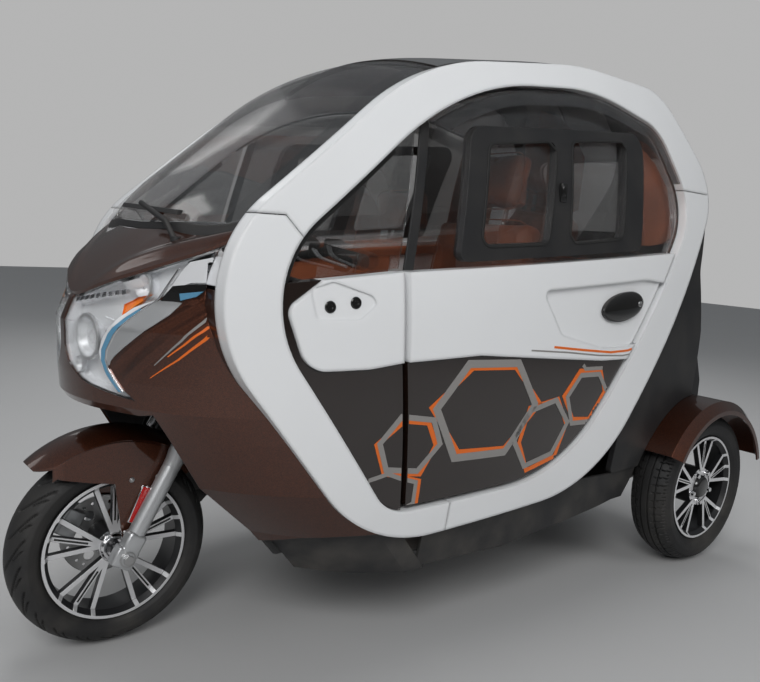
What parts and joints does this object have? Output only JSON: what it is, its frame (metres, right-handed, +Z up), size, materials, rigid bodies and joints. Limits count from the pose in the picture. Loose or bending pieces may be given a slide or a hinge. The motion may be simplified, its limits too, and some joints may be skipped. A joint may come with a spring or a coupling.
{
  "type": "enclosed electric three wheeled car",
  "caption": "Small enclosed electric trike with a steered front wheel, driven rear wheels, hinged doors and a glazed cabin.",
  "frame": {"origin": "on the ground under the middle of the vehicle's length and width", "axes": "+Z up, -Y towards the front wheel, +X towards the driver's left"},
  "size_m": [1.12, 2.2398, 1.5007],
  "materials": {
    "ring_white": "gloss white moulded plastic",
    "body_brown": "metallic copper-brown lacquer",
    "skin_dark": "very dark brown lacquer with outlines",
    "black_plastic": "grained black plastic",
    "roof_black": "glossy black",
    "glass_tinted": "tinted glazing",
    "glass_clear": "clear glazing",
    "lamp_lens": "clear lamp lens",
    "lamp_red": "red lamp lens",
    "frame_steel": "black paint",
    "alloy": "machined faces, black pockets",
    "fork_silver": "silver lacquer",
    "disc_steel": "turned steel",
    "tyre_rubber": "tyre rubber",
    "grip_rubber": "moulded rubber and black bar",
    "leather_brown": "grained brown leather"
  },
  "bodies": {
    "root": {"chassis_frame": "frame_steel", "cowl_strip": "black_plastic", "dashboard": "black_plastic", "driver_seat": "leather_brown", "floor_tub": "black_plastic", "headlamps": "lamp_lens", "hood": "body_brown", "nose_cowl": "body_brown", "quarter_belts": "ring_white", "quarter_glass": "glass_clear", "quarter_skirts": "skin_dark", "rear_axle": "frame_steel", "rear_bench": "leather_brown", "rear_bumper": "frame_steel", "rear_fenders": "body_brown", "rear_panel": "roof_black", "rear_quarters": "black_plastic", "rear_window": "glass_tinted", "ring_front": "ring_white", "ring_rear": "ring_white", "ring_top": "ring_white", "roof_panel": "roof_black", "seat_boxes": "black_plastic", "tail_box": "black_plastic", "tail_lamps": "lamp_red", "wheel_liner": "black_plastic", "windscreen": "glass_tinted"},
    "door_left": {"door_belt_left": "ring_white", "door_glass_left": "glass_tinted", "door_skin_left": "skin_dark", "door_trim_left": "black_plastic"},
    "door_right": {"door_belt_right": "ring_white", "door_glass_right": "glass_tinted", "door_skin_right": "skin_dark", "door_trim_right": "black_plastic"},
    "steering": {"fork": "fork_silver", "front_fender": "body_brown", "handlebar": "grip_rubber"},
    "wheel_front": {"brake_disc": "disc_steel", "front_rim": "alloy", "front_tyre": "tyre_rubber"},
    "wheel_rear_left": {"rear_rim_left": "alloy", "rear_tyre_left": "tyre_rubber"},
    "wheel_rear_right": {"rear_rim_right": "alloy", "rear_tyre_right": "tyre_rubber"}
  },
  "joints": [
    {"name": "steering", "type": "hinge", "parent": "root", "child": "steering", "pos_m": [0, -0.603, 0.67858], "axis": [0, 0.4818, 0.8763], "range_deg": [-35, 35]},
    {"name": "front_wheel_spin", "type": "hinge", "parent": "steering", "child": "wheel_front", "pos_m": [0, -0.889, 0.231], "axis": [1, 0, 0], "continuous": true},
    {"name": "rear_left_spin", "type": "hinge", "parent": "root", "child": "wheel_rear_left", "pos_m": [0.455, 0.841, 0.245], "axis": [1, 0, 0], "continuous": true},
    {"name": "rear_right_spin", "type": "hinge", "parent": "root", "child": "wheel_rear_right", "pos_m": [-0.455, 0.841, 0.245], "axis": [1, 0, 0], "continuous": true},
    {"name": "door_left_hinge", "type": "hinge", "parent": "root", "child": "door_left", "pos_m": [0.48, -0.423, 0.7], "axis": [0, 0, -1], "range_deg": [0, 70]},
    {"name": "door_right_hinge", "type": "hinge", "parent": "root", "child": "door_right", "pos_m": [-0.48, -0.423, 0.7], "axis": [0, 0, 1], "range_deg": [0, 70]}
  ]
}
